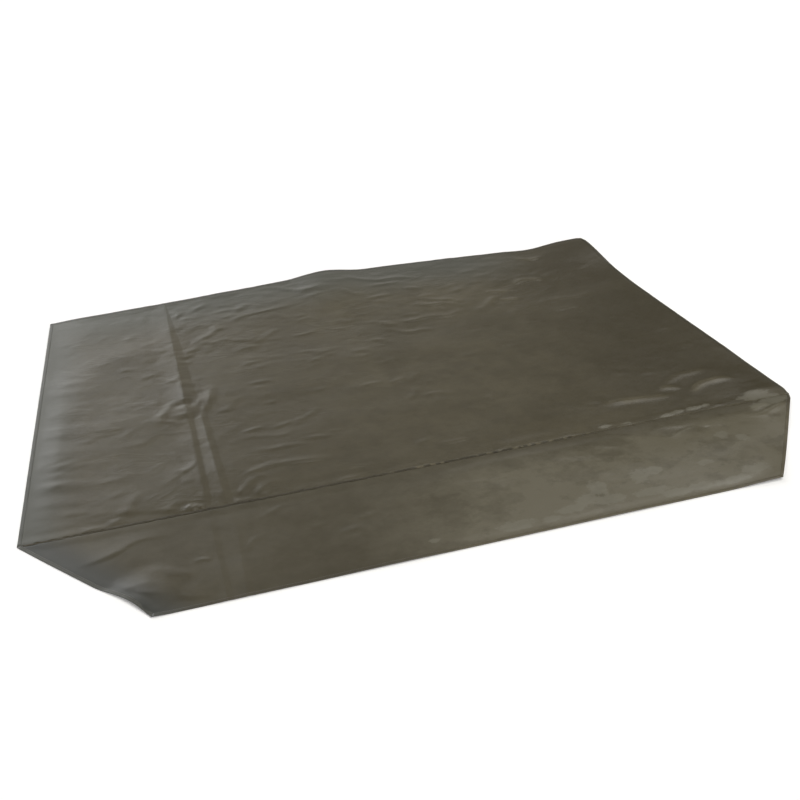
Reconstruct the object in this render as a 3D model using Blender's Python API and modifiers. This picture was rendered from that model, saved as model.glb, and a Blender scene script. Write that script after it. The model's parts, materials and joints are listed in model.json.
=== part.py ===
"""One-person fishing shelter groundsheet, laid out flat on the ground.

Six-sided coated cloth sheet: a deep main panel and a shallow front panel sewn
together along the widest line. A folded tape binds every outer edge, and a
sealing tape covers the seam on the underside. The front panel turns up and over
the main panel about the seam. X runs along the seam, +Y towards the rear edge,
+Z up. The origin is the middle of the bounding box, at ground level.
"""

import math

import bmesh
import bpy
from mathutils import Vector

# Outline of the sheet, all measured along the ground in metres
seam_width = 2.70
rear_width = 2.27
rear_depth = 1.34
rear_peak = 0.07
front_width = 2.04
front_depth = 0.43

# Cloth, tapes and the gap that touching pieces keep
cloth_thickness = 0.0008
tape_thickness = 0.0005
binding_width = 0.012
binding_margin = 0.002
seam_tape_width = 0.024
clearance = 0.0003
binding_bend_steps = 4

# Spacing of the lines that the panels are laid out on
coarse_spacing = 0.085
fine_spacing = 0.048
front_spacing = 0.055

# Storage crease: the sheet is packed in about quarters across its width, and the
# turn leaves two lines a bundle's thickness apart, closing up towards the rear
crease_left = -0.760
crease_left_lean = 0.036
crease_right = -0.700
crease_right_lean = 0.015
crease_foot = 0.055
crease_height = 0.010
crease_low_height = 0.006
crease_front_height = 0.003
crease_turn_y = 0.56
crease_turn_length = 0.12

# The crinkles die away towards the seam, which lies straight and low
seam_calm = 0.07

# Wrinkles by the right-hand end of the seam, measured back from that end
wrinkle_half_width = 0.065
pull_height = 0.010
pull_inner = 0.66
pull_outer = 0.42
pull_y = 0.17
pull_drop = 0.04
fan_height = 0.009
fan_inner = 0.35
fan_outer = 0.13
fan_y = 0.10
fan_rise = 0.06

# Lifted places: the middle of the rear edge, the rear right corner and the
# cloth beside the right-hand end of the seam
peak_lift = 0.014
peak_lift_width = 0.17
peak_lift_length = 0.50
corner_lift = 0.022
corner_lift_reach = 0.24
end_lift = 0.012
end_lift_reach = 0.17
end_lift_inset = 0.16

# Fold across the left part of the front panel, measured from the front left corner
toe_fold_height = 0.009
toe_fold_half_width = 0.06
toe_fold_outset = 0.06
toe_fold_length = 0.20
toe_fold_y = 0.13
toe_fold_rise = 0.06

# Worked out from the sizes above
seam_half = seam_width / 2
rear_half = rear_width / 2
front_half = front_width / 2
seat = binding_width + binding_margin
edge_rest = tape_thickness + clearance
bend_radius = cloth_thickness / 2 + clearance + tape_thickness / 2
overhang = bend_radius + tape_thickness / 2
rear_slope = rear_peak / rear_half
seam_y = (front_depth - rear_depth - rear_peak - overhang * (math.hypot(1, rear_slope) - 1)) / 2
seam_level = seam_tape_width / 2 + binding_margin
straight_half = abs(crease_left) + crease_foot
fold_axis_z = edge_rest + cloth_thickness + clearance + tape_thickness + clearance / 3


def smooth(value):
    """Ease from 0 to 1 as value goes from 0 to 1."""
    value = min(max(value, 0.0), 1.0)
    return value * value * (3 - 2 * value)


def bump(distance):
    """1 at distance 0, falling smoothly to 0 at distance 1 and beyond."""
    if distance >= 1:
        return 0.0
    return (1 - distance * distance) ** 2


def ridge(x, y, start, end, half_width, height):
    """Height of a straight wrinkle from start to end at the point x, y."""
    along = Vector(end) - Vector(start)
    offset = Vector((x, y)) - Vector(start)
    share = offset.dot(along) / along.length_squared
    beyond = max(-share, share - 1, 0.0) * along.length
    across = (offset - along * share).length
    return height * bump(math.hypot(beyond, across) / half_width)


def crease_lean(line):
    """How far a line that crosses the seam at x = line leans over, for each metre rearward."""
    if line <= crease_left:
        return crease_left_lean * max(0.0, 1 - (crease_left - line) / crease_foot)
    if line >= crease_right:
        return crease_right_lean * max(0.0, 1 - (line - crease_right) / crease_foot)
    share = (line - crease_left) / (crease_right - crease_left)
    return crease_left_lean + (crease_right_lean - crease_left_lean) * share


def storage_crease(x, y):
    """Two creases: a ridge and a valley at the rear, a low box nearer the seam."""
    left = crease_left + crease_left_lean * y
    right = crease_right + crease_right_lean * y
    low = crease_low_height if y > 0 else crease_front_height
    near_seam = 1 - smooth((y - crease_turn_y) / crease_turn_length + 0.5)
    left_height = crease_height + (low - crease_height) * near_seam
    right_height = low * near_seam
    if x <= left:
        return left_height * smooth(1 - (left - x) / crease_foot)
    if x >= right:
        return right_height * smooth(1 - (x - right) / crease_foot)
    share = (x - left) / (right - left)
    return left_height + (right_height - left_height) * share


def folds(x, y):
    """Height of the cloth's main folds at x, and y measured rearward from the seam."""
    height = storage_crease(x, y)
    rear_edge = rear_depth + rear_peak
    fade = smooth(1 - (rear_edge - y) / peak_lift_length)
    height += peak_lift * bump(abs(x) / peak_lift_width) * fade
    corner = math.hypot(rear_half - x, rear_depth - y)
    height += corner_lift * bump(corner / corner_lift_reach)
    end = math.hypot(seam_half - end_lift_inset - x, end_lift_reach - y)
    height += end_lift * bump(end / end_lift_reach)
    height += ridge(x, y, (seam_half - pull_inner, pull_y),
                    (seam_half - pull_outer, pull_y - pull_drop), wrinkle_half_width, pull_height)
    height += ridge(x, y, (seam_half - fan_inner, fan_y),
                    (seam_half - fan_outer, fan_y + fan_rise), wrinkle_half_width, fan_height)
    toe_start = (-front_half - toe_fold_outset, toe_fold_y - front_depth)
    toe_end = (toe_start[0] + toe_fold_length, toe_start[1] + toe_fold_rise)
    height += ridge(x, y, toe_start, toe_end, toe_fold_half_width, toe_fold_height)
    calm = smooth((abs(y) - seam_level) / seam_calm)
    return height * calm


def fill(marks, spacing):
    """The marks in order, with even steps between them no wider than spacing."""
    lines = [marks[0]]
    for low, high in zip(marks, marks[1:]):
        steps = max(1, math.ceil((high - low) / spacing - 0.05))
        lines += [low + (high - low) * step / steps for step in range(1, steps + 1)]
    return lines


class Panel:
    """The layout of one panel: a grid of lines stretched over its outline."""

    def __init__(self, towards, corner_half, corner_depth, peak, columns, rows):
        self.towards = towards
        self.corner_depth = corner_depth
        self.peak = peak
        self.corner_half = corner_half
        self.columns = columns
        self.rows = rows
        self.side_stretch = math.hypot(1, (seam_half - corner_half) / corner_depth)
        self.edge_stretch = math.hypot(1, peak / corner_half)

    def half_width(self, depth):
        """Half the sheet's width at a depth from the seam."""
        return seam_half + (self.corner_half - seam_half) * depth / self.corner_depth

    def edge_depth(self, x):
        """Depth of the far edge from the seam at x."""
        return self.corner_depth + self.peak * (1 - abs(x) / self.corner_half)

    def across(self, column, depth):
        """X of a column at a depth: the middle columns run straight to the rear."""
        line = self.columns[column]
        half = self.half_width(depth)
        if column in (0, len(self.columns) - 1):
            return math.copysign(half, line)
        inner = half - seat * self.side_stretch
        inner_at_seam = seam_half - seat * self.side_stretch
        if abs(line) <= straight_half:
            return line + crease_lean(line) * depth * self.towards
        share = (abs(line) - straight_half) / (inner_at_seam - straight_half)
        return math.copysign(straight_half + share * (inner - straight_half), line)

    def along(self, row, x):
        """Depth of a row at x: the rows near the seam run straight across."""
        last = len(self.rows) - 1
        edge = self.edge_depth(x)
        if row == last:
            return edge
        inner = edge - seat * self.edge_stretch
        if row == last - 1:
            return inner
        inner_at_corner = self.corner_depth - seat * self.edge_stretch
        return self.rows[row] * (1 + (inner / inner_at_corner - 1) * row / (last - 1))

    def place(self, column, row):
        """X and depth of a crossing, where its column and its row agree."""
        x = self.columns[column]
        depth = self.rows[row]
        for _ in range(12):
            x = self.across(column, depth)
            depth = self.along(row, x)
        return x, depth

    def height(self, column, row):
        """Underside height of a crossing. A bound edge is level across its seat."""
        last_column = len(self.columns) - 1
        last_row = len(self.rows) - 1
        on_side = column <= 1 or column >= last_column - 1
        on_edge = row >= last_row - 1
        side = 0 if column <= 1 else last_column
        foot_column = side if on_side else column
        foot_row = last_row if on_edge else row
        x, depth = self.place(foot_column, foot_row)
        rest = edge_rest if on_side or on_edge or row <= 1 else 0.0
        return rest + folds(x, depth * self.towards)

    def point(self, column, row, raised=0.0):
        """A crossing in the sheet's own frame, raised above the panel's underside."""
        x, depth = self.place(column, row)
        return Vector((x, seam_y + depth * self.towards, self.height(column, row) + raised))


main_side_stretch = math.hypot(1, (seam_half - rear_half) / rear_depth)
front_side_stretch = math.hypot(1, (seam_half - front_half) / front_depth)


def panel_columns(side_stretch):
    """Columns at the seam: close together on the crease and among the wrinkles."""
    inner = seam_half - seat * side_stretch
    marks = fill([-inner, crease_left - crease_foot], coarse_spacing)
    marks += [crease_left - crease_foot / 2, crease_left]
    marks += [crease_right, crease_right + crease_foot / 2]
    marks += fill([crease_right + crease_foot, 0.0, straight_half], coarse_spacing)
    marks += fill([straight_half, inner], fine_spacing)[1:]
    return [-seam_half] + marks + [seam_half]


def panel_rows(depth, stretch, marks, spacing):
    """Rows by depth from the seam edge to the far edge, through the marks."""
    inner = depth - seat * stretch
    return [clearance / 2] + fill([seam_level] + marks, fine_spacing) + \
        fill([marks[-1], inner], spacing)[1:] + [depth]


main_layout = Panel(
    towards=1, corner_half=rear_half, corner_depth=rear_depth, peak=rear_peak,
    columns=panel_columns(main_side_stretch),
    rows=panel_rows(rear_depth, math.hypot(1, rear_slope), [pull_y + wrinkle_half_width],
                    coarse_spacing))
front_layout = Panel(
    towards=-1, corner_half=front_half, corner_depth=front_depth, peak=0.0,
    columns=panel_columns(front_side_stretch),
    rows=panel_rows(front_depth, 1.0, [seam_level + seam_calm], front_spacing))


def clear_scene():
    """Start from an empty scene."""
    for old in list(bpy.data.objects):
        bpy.data.objects.remove(old)


def finish_material(name, colour, roughness):
    """A plain coated-cloth finish."""
    material = bpy.data.materials.new(name)
    material.use_nodes = True
    surface = material.node_tree.nodes["Principled BSDF"]
    surface.inputs["Base Color"].default_value = (*colour, 1.0)
    surface.inputs["Roughness"].default_value = roughness
    surface.inputs["Metallic"].default_value = 0.0
    return material


def new_object(name, mesh, collection, colour, roughness, parent):
    """Put a mesh in the scene under its own name, with its own finish."""
    piece = bpy.data.objects.new(name, mesh)
    collection.objects.link(piece)
    piece.data.materials.append(finish_material(name + "_finish", colour, roughness))
    piece.parent = parent
    return piece


def thicken(piece, thickness, offset):
    """Give an open sheet of cloth its thickness."""
    shell = piece.modifiers.new("cloth thickness", 'SOLIDIFY')
    shell.thickness = thickness
    shell.offset = offset
    shell.use_even_offset = True


def grid_mesh(name, columns, rows, place):
    """A grid of columns by rows crossings, each moved to where place puts it."""
    bm = bmesh.new()
    bmesh.ops.create_grid(bm, x_segments=columns - 1, y_segments=rows - 1, size=1.0)
    for vertex in bm.verts:
        column = round((vertex.co.x + 1) / 2 * (columns - 1))
        row = round((vertex.co.y + 1) / 2 * (rows - 1))
        vertex.co = place(column, row)
    bmesh.ops.recalc_face_normals(bm, faces=bm.faces)
    mesh = bpy.data.meshes.new(name)
    bm.to_mesh(mesh)
    bm.free()
    return mesh


def face_up(mesh):
    """Turn the faces of a lying sheet upwards."""
    if sum(face.normal.z * face.area for face in mesh.polygons) < 0:
        mesh.flip_normals()


def make_panel(name, layout, collection, colour, pivot, parent):
    """One cloth panel, its underside on the layout and its thickness above it."""
    mesh = grid_mesh(name, len(layout.columns), len(layout.rows),
                     lambda column, row: layout.point(column, row) - pivot)
    face_up(mesh)
    piece = new_object(name, mesh, collection, colour, 0.55, parent)
    thicken(piece, cloth_thickness, 1.0)
    mesh.shade_smooth()
    return piece


def side_stations(layout, column):
    """Edge and seat crossings along one side, from the seam to the corner."""
    inner = 1 if column == 0 else len(layout.columns) - 2
    last = len(layout.rows) - 1
    pairs = [((column, row), (inner, row)) for row in range(last)]
    return pairs + [((column, last), (inner, last - 1))]


def far_stations(layout):
    """Edge and seat crossings along the far edge, from left corner to right corner."""
    last_row = len(layout.rows) - 1
    last_column = len(layout.columns) - 1
    pairs = [((column, last_row), (column, last_row - 1)) for column in range(1, last_column)]
    left = ((0, last_row), (1, last_row - 1))
    right = ((last_column, last_row), (last_column - 1, last_row - 1))
    return [left] + pairs + [right]


def make_binding(name, layout, stations, mitred, collection, colour, pivot, parent):
    """A tape folded round one bound edge, with a leg above and a leg below the cloth.

    mitred says which ends stop short of a corner, where the next tape begins.
    """
    places = []
    for edge, inner in stations:
        edge_point = layout.point(*edge, raised=cloth_thickness / 2)
        inner_point = layout.point(*inner, raised=cloth_thickness / 2)
        outward = (edge_point - inner_point) / seat
        places.append([edge_point, outward])
    for end, step in ((0, 1), (len(places) - 1, -1)):
        if mitred[end != 0]:
            along = places[end + step][0] - places[end][0]
            places[end][0] = places[end][0] + along.normalized() * clearance
    section = [(-binding_width, bend_radius)]
    for step in range(binding_bend_steps + 1):
        angle = math.pi * (0.5 - step / binding_bend_steps)
        section.append((bend_radius * math.cos(angle), bend_radius * math.sin(angle)))
    section.append((-binding_width, -bend_radius))

    def place(column, row):
        edge_point, outward = places[column]
        out, up = section[row]
        return edge_point + outward * out + Vector((0, 0, up)) - pivot

    mesh = grid_mesh(name, len(places), len(section), place)
    if mesh.polygons[0].normal.z < 0:
        mesh.flip_normals()
    piece = new_object(name, mesh, collection, colour, 0.7, parent)
    thicken(piece, tape_thickness, 0.0)
    mesh.shade_smooth()
    return piece


def make_seam_tape(name, collection, colour, parent):
    """The flat sealing tape under the seam, ending short of the side bindings."""
    front_corner_room = front_layout.half_width(seam_tape_width / 2)
    length = 2 * (front_corner_room - seat * front_side_stretch - clearance)
    bm = bmesh.new()
    bmesh.ops.create_cube(bm, size=1.0)
    for vertex in bm.verts:
        vertex.co.x *= length
        vertex.co.y *= seam_tape_width
        vertex.co.z = (vertex.co.z + 0.5) * tape_thickness
        vertex.co.y += seam_y
    mesh = bpy.data.meshes.new(name)
    bm.to_mesh(mesh)
    bm.free()
    return new_object(name, mesh, collection, colour, 0.4, parent)


def build():
    clear_scene()
    sheet = bpy.data.collections.new("shelter_groundsheet")
    bpy.context.scene.collection.children.link(sheet)

    fold_line = bpy.data.objects.new("seam_fold_line", None)
    fold_line.location = (0.0, seam_y, fold_axis_z)
    sheet.objects.link(fold_line)
    pivot = Vector(fold_line.location)
    at_origin = Vector((0.0, 0.0, 0.0))

    olive = (0.090, 0.080, 0.058)
    front_olive = (0.100, 0.090, 0.066)
    dark_olive = (0.050, 0.047, 0.036)
    tape_grey = (0.070, 0.068, 0.060)

    make_panel("main_panel", main_layout, sheet, olive, at_origin, None)
    make_panel("front_panel", front_layout, sheet, front_olive, pivot, fold_line)

    far_right = len(main_layout.columns) - 1
    for name, layout, stations, mitred, shift, parent in (
            ("rear_binding", main_layout, far_stations(main_layout), (True, True),
             at_origin, None),
            ("left_side_binding", main_layout, side_stations(main_layout, 0), (False, True),
             at_origin, None),
            ("right_side_binding", main_layout, side_stations(main_layout, far_right),
             (False, True), at_origin, None),
            ("front_binding", front_layout, far_stations(front_layout), (True, True),
             pivot, fold_line),
            ("front_left_binding", front_layout, side_stations(front_layout, 0), (False, True),
             pivot, fold_line),
            ("front_right_binding", front_layout,
             side_stations(front_layout, len(front_layout.columns) - 1), (False, True),
             pivot, fold_line)):
        make_binding(name, layout, stations, mitred, sheet, dark_olive, shift, parent)

    make_seam_tape("seam_tape", sheet, tape_grey, None)


build()
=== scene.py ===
"""The looks of a fishing shelter's groundsheet, laid out flat on a white floor.

Two panels of crinkled coated cloth, a felled seam between them, a folded tape
round every edge, the stitches that hold them, and a sealing tape under the seam.
Places are in metres unless a comment says otherwise. X runs along the seam to the
right. Y on the sheet is measured from the seam, towards the rear.
"""

import json
import math

import bpy
import numpy as np
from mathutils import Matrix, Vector


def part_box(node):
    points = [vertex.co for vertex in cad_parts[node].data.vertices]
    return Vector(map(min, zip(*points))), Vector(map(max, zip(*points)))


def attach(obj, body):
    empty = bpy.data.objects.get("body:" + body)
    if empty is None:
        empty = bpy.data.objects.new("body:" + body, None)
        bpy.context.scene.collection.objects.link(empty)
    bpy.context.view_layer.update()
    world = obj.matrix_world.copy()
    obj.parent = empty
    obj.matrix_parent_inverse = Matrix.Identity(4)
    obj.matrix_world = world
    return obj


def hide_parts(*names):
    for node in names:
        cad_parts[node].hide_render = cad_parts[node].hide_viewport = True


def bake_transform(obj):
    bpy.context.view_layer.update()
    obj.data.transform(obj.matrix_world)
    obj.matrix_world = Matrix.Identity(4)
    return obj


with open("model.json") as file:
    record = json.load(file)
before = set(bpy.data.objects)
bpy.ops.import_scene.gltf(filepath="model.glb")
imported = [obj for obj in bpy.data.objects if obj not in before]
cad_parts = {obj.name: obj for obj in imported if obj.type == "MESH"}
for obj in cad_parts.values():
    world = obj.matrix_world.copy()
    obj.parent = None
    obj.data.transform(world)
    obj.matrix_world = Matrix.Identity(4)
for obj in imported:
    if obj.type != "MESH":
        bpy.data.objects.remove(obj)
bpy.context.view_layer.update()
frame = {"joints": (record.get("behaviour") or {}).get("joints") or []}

# Sizes that the frame gives
seam_y = frame["joints"][0]["pos_m"][1]
main_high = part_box("main_panel")[1]
front_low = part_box("front_panel")[0]
front_edge_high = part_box("front_binding")[1]
rear_edge_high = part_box("rear_binding")[1]
tape_low, tape_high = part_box("seam_tape")

# Cut sizes of the sheet
tape_thickness = 0.0005
cloth_thickness = 0.0008
clearance = 0.0003
overhang = cloth_thickness / 2 + clearance + tape_thickness
seam_half = main_high.x
rear_half = rear_edge_high.x - overhang
front_half = front_edge_high.x - overhang
front_depth = seam_y - front_low.y
rear_peak = 0.07
rear_depth = main_high.y - seam_y - rear_peak
binding_width = 0.012
seat = binding_width + 0.002
seat_run_out = 0.03
seam_rest = tape_thickness + clearance

# The edge tape as it is drawn: a little thinner than the solid one, closer to the cloth
# and just clear of the floor. It follows the cloth's height just inside the edge
drawn_tape = 0.00035
tape_off_cloth = 0.00008
tape_off_floor = 0.00015
edge_rest = drawn_tape + tape_off_floor
bend_radius = cloth_thickness / 2 + tape_off_cloth + drawn_tape / 2
tape_outside = bend_radius + drawn_tape / 2
just_inside = 0.0005
edge_stitch_inset = binding_width * 0.78

# The turned hem of the main panel, lapped over the front panel, and the sewing thread
hem_half = 0.0055
hem_thickness = 0.0005
hem_end_gap = 0.004
hem_step = 0.006
stitch_line_y = -0.0008
stitch_length = 0.0032
stitch_gap = 0.0012
edge_thread = 0.00035
seam_thread = 0.0005

# How finely the cloth is laid out
relief_step = 0.004
row_step = 0.0068
column_step = 0.0145
crease_step = 0.0045
tape_step = 0.008
tape_bend_steps = 8
sealing_columns = 380
sealing_rows = 7
agreeing_rounds = 8
course_steps = 7

# The storage crease: two lines that close up towards the rear. The left one is straight,
# and the right one passes through the places given as y and then x
crease_left = -0.769
crease_left_lean = 0.063
crease_right = -0.7066
crease_right_lean = 0.031
crease_right_line = ((-0.43, -0.26, -0.15, 0.0, 0.5, 0.62, 1.02, 1.41),
                     (-0.735, -0.718, -0.702, -0.7066, -0.691, -0.6821, -0.6741, -0.678))
crease_fade = (0.055, 0.16)
crease_margin = 0.06
crease_turn_y = 0.56
crease_drop = 0.018

# How the sheet was pulled about when it was laid down: the place that moved most,
# how far it went in X and Y, and how far round it the cloth went with it
pulls = (
    ((1.135, 1.340), (0.022, 0.000), 0.50),
    ((1.140, 1.345), (-0.005, -0.004), 0.035),
    ((0.890, 1.355), (0.000, -0.009), 0.14),
    ((1.020, -0.430), (0.021, 0.000), 0.62),
    ((-1.020, -0.430), (0.008, 0.000), 0.50),
    ((-1.080, -0.350), (0.007, 0.009), 0.13),
    ((1.356, 0.000), (-0.008, 0.001), 0.040),
)

# The floor: how far it reaches each way, and its level just under the sheet. Then how far
# off the lamps stand
floor_reach = 14.0
floor_level = -0.0004
lamp_distance = 8.0


def smooth(value):
    """Ease from 0 to 1 as value goes from 0 to 1."""
    value = np.clip(value, 0.0, 1.0)
    return value * value * (3 - 2 * value)


def bump(distance):
    """1 at distance 0, falling smoothly to 0 at distance 1 and beyond."""
    return np.clip(1 - np.square(distance), 0.0, None) ** 2


def spot(x, y, middle_x, middle_y, half_x, half_y):
    """1 at the middle of an oval place on the sheet, falling smoothly to 0 at its outline."""
    return bump(np.hypot((x - middle_x) / half_x, (y - middle_y) / half_y))


def fall(distance, reach):
    """1 at distance 0 and before, falling evenly to 0 at reach."""
    return np.clip(1 - distance / reach, 0, 1)


def lattice(column, row, seed):
    """A fixed scattered angle for each whole-number crossing."""
    mixed = column.astype(np.int64) * 73856093 ^ row.astype(np.int64) * 19349663 ^ seed * 83492791
    mixed = (mixed ^ (mixed >> 13)) * 1274126177 & 0x7FFFFFFF
    return ((mixed ^ (mixed >> 11)) & 0xFFFF) / 65536 * 2 * math.pi


def rumple(x, y, seed):
    """Smooth scattered waves between about -1 and 1, one to each unit of x and y."""
    column, row = np.floor(x), np.floor(y)
    across, along = x - column, y - row
    total = 0.0
    for step_x in (0, 1):
        for step_y in (0, 1):
            angle = lattice(column + step_x, row + step_y, seed)
            lean = np.cos(angle) * (across - step_x) + np.sin(angle) * (along - step_y)
            ease_x = smooth(across) if step_x else 1 - smooth(across)
            ease_y = smooth(along) if step_y else 1 - smooth(along)
            total = total + lean * ease_x * ease_y
    return total * 1.6


def ripple(x, row, seed):
    """Scattered waves along x alone: those that rumple has along one row."""
    return rumple(x, x * 0 + row, seed)


def facets(x, y, seed):
    """Crumpled cloth: a shallow peak to each unit of x and y, with a crease where two meet."""
    column, row = np.floor(x), np.floor(y)
    nearest = np.full(x.shape, 9.0)
    second = nearest
    for step_x in (-1, 0, 1):
        for step_y in (-1, 0, 1):
            angle = lattice(column + step_x, row + step_y, seed)
            away = np.hypot(column + step_x + 0.5 + 0.42 * np.cos(angle) - x,
                            row + step_y + 0.5 + 0.42 * np.sin(angle) - y)
            second = np.minimum(second, np.maximum(nearest, away))
            nearest = np.minimum(nearest, away)
    return second - nearest


# Each wrinkle listed one by one: its height and how far its rear and front
# slopes reach, in millimetres, then its course from left to right, in centimetres
# across from the middle of the seam and rearward from it
long_wrinkles = (
    (0.6, 27, 10, ((-127, 39), (-120, 40), (-113, 43))),
    (0.6, 31, 12, ((-123, 34), (-115, 38), (-104, 39))),
    (0.6, 24, 10, ((-125, 24), (-120, 27), (-114, 28))),
    (0.7, 24, 10, ((-108, 24), (-98, 24))),
    (1.0, 22, 10, ((-89, 15), (-83, 20), (-77, 24), (-73, 30))),
    (0.6, 24, 10, ((-122, 11), (-110, 10))),
    (1.4, 34, 18, ((-103, 2), (-99, 10), (-95, 17))),
    (0.6, 27, 12, ((-93, 92), (-88, 90), (-82, 91))),
    (0.6, 27, 12, ((-83, 105), (-77, 107), (-72, 108))),
    (0.5, 27, 14, ((-100, 70), (-90, 67))),
    (0.7, 34, 14, ((-98, 42), (-90, 42), (-86, 47))),
    (0.5, 50, 34, ((-117, 50), (-114, 62), (-109, 76), (-107, 92))),
    (1.3, 46, 26, ((-86, 53), (-81, 57), (-76, 66))),
    (2.7, 42, 24, ((-70, 52), (-65, 60), (-61, 72))),
    (1.2, 24, 16, ((-68, 91), (-66, 96), (-59, 98))),
    (1.8, 31, 10, ((-64, 101), (-57, 105), (-52, 109), (-46, 110))),
    (1.9, 31, 9, ((-47, 109), (-43, 115), (-36, 117), (-25, 118), (-15, 120))),
    (1.1, 19, 9, ((-65, 122), (-57, 120))),
    (1.3, 24, 13, ((-62, 124), (-57, 128), (-51, 132))),
    (1.5, 17, 9, ((-53, 122), (-45, 123), (-36, 122))),
    (1.6, 18, 10, ((-55, 103), (-47, 99), (-37, 96))),
    (1.4, 16, 9, ((-49, 80), (-45, 81), (-39, 81))),
    (1.9, 12, 8, ((-24, 75), (-22, 75), (-19, 77))),
    (1.7, 14, 8, ((-27, 82), (-22, 82), (-18, 80), (-12, 81))),
    (1.6, 15, 9, ((-50, 67), (-47, 67), (-43, 67), (-39, 66))),
    (1.8, 13, 8, ((-46, 53), (-44, 53), (-42, 53))),
    (2.4, 15, 8, ((-10, 53), (-6, 53), (-4, 53), (-1, 54))),
    (2.4, 16, 8, ((-58, 38), (-55, 38), (-50, 39))),
    (2.2, 15, 8, ((-47, 36), (-44, 38), (-42, 38), (-39, 40))),
    (1.1, 16, 9, ((-60, 35), (-50, 33), (-44, 32), (-39, 35))),
    (1.7, 22, 9, ((-57, 26), (-50, 25), (-43, 25), (-36, 24))),
    (2.5, 26, 9, ((-66, 13), (-52, 16), (-40, 15), (-29, 14))),
    (2.2, 22, 12, ((-67, 1), (-62, 8), (-56, 13))),
    (2.2, 20, 10, ((-62, 0), (-58, 5), (-55, 8))),
    (1.8, 14, 8, ((3, 10), (8, 10), (13, 10), (17, 9))),
    (1.7, 16, 9, ((8, 39), (11, 40), (15, 40), (21, 37))),
    (1.4, 13, 8, ((0, 65), (4, 66), (8, 67))),
    (1.6, 9, 7, ((-47, 64), (-44, 63))),
    (2.0, 15, 10, ((-39, 36), (-37, 39), (-35, 41))),
    (1.9, 14, 8, ((-38, 28), (-33, 27), (-28, 26))),
    (1.7, 9, 8, ((-29, 29), (-27, 29), (-25, 28))),
    (1.1, 13, 8, ((2, 83), (6, 82), (10, 81))),
    (1.1, 10, 8, ((3, 77), (7, 78))),
    (1.8, 10, 9, ((2, 50), (4, 53), (7, 54))),
    (1.8, 12, 10, ((7, 49), (10, 53), (13, 56))),
    (1.6, 16, 9, ((4, 38), (7, 43), (9, 47))),
    (1.4, 16, 9, ((-49, 92), (-45, 92), (-38, 92))),
    (2.0, 37, 39, ((-17, 128), (-10, 129), (-3, 129))),
    (2.4, 20, 12, ((-27, 138), (-21, 134), (-15, 130), (-6, 128))),
    (2.0, 12, 9, ((-63, -10), (-51, -4))),
    (4.2, 95, 270, ((-127, -2), (-122, 25), (-118, 50), (-114, 75), (-109, 105))),
    (2.7, 20, 24, ((64, 15.5), (70, 14.8), (76, 14.4), (83, 13.6), (90, 12.6), (97, 12.2))),
    (2.8, 20, 14, ((90, 17), (95, 17), (100, 15))),
    (2.2, 20, 20, ((93, 17), (97, 20.5), (102, 23), (109, 23.5), (117, 24))),
    (3.0, 21, 22, ((101, 8), (103, 12), (106, 15), (110, 16), (117, 16), (123, 14))),
    (1.3, 30, 50, ((58, -25), (62, -24), (68, -26))),
    (0.9, 24, 30, ((47, -23), (50, -22), (53, -25))),
    (1.0, 30, 60, ((31, -33), (37, -31), (43, -27), (48, -29))),
    (2.0, 30, 24, ((32, -8), (42, -11), (52, -13))),
    (0.9, 26, 14, ((22, -10), (30, -8), (38, -6))),
    (2.0, 16, 40, ((0, -12), (12, -15), (24, -14))),
    (1.3, 15, 8, ((-26, 95), (-22, 95), (-17, 96), (-13, 98))),
    (1.3, 13, 8, ((-9, 97), (-7, 95), (-3, 94))),
    (1.5, 22, 11, ((-15, 123), (-10, 123), (-5, 124))),
    (3.0, 24, 12, ((4, 136), (13, 131), (21, 128), (27, 128), (34, 126), (39, 123))),
    (2.2, 22, 12, ((1, 126), (6, 120), (12, 118))),
    (2.4, 20, 11, ((14, 125), (21, 124), (29, 124))),
    (2.7, 22, 11, ((9, 114), (16, 115), (22, 115))),
    (2.2, 20, 11, ((28, 119), (34, 115))),
    (2.4, 22, 11, ((29, 110), (36, 105), (42, 103), (46, 100), (50, 97))),
    (2.8, 22, 11, ((26, 106), (32, 102), (39, 101), (46, 97), (52, 100))),
    (2.6, 26, 11, ((15, 93), (23, 92), (29, 93), (37, 91), (43, 93), (50, 94))),
    (2.4, 20, 11, ((11, 89), (18, 84), (24, 84), (31, 82))),
    (3.6, 26, 22, ((49, 90), (55, 94), (59, 98), (63, 102))),
    (2.6, 20, 12, ((57, 107), (61, 104), (66, 103), (72, 102))),
    (2.3, 24, 12, ((70, 105), (75, 109), (80, 109), (88, 106))),
    (2.8, 20, 11, ((60, 97), (65, 96), (71, 95))),
    (1.9, 26, 11, ((78, 90), (86, 90), (92, 89), (101, 90))),
    (1.7, 22, 11, ((76, 86), (81, 82), (91, 83))),
    (2.6, 22, 14, ((80, 130), (86, 126), (93, 126))),
    (1.9, 75, 9, ((-120, -15), (-113, -14), (-107, -12), (-102, -9), (-98, -8), (-89, -9))),
    (1.6, 26, 40, ((-101, -23), (-96, -24), (-91, -27), (-85, -29))),
    (1.3, 11, 9, ((-86, -23), (-83, -23), (-80, -24))),
    (1.1, 60, 30, ((-115, -29), (-108, -30), (-103, -29), (-97, -28))),
    (2.2, 100, 12, ((-107, -31), (-101, -34), (-95, -36), (-88, -39), (-82, -42))),
    (1.8, 24, 44, ((76, -3), (86, -4), (93, -6), (97, -8), (100, -12))),
    (1.7, 20, 6, ((76, -4), (82, -5.3), (90, -7.4))),
    (2.2, 20, 6, ((89, -8.2), (96, -9.4), (103, -10.8))),
    (1.7, 16, 6, ((108, -8.2), (116, -9.8), (122, -11.7))),
    (2.0, 24, 40, ((93, -8), (101, -7), (110, -7), (114, -9), (122, -13))),
    (4.0, 18, 14, ((115, -6), (119, -4), (124, -3))),
    (4.4, 18, 18, ((117, -9), (124, -7), (131, -4))),
)


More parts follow.
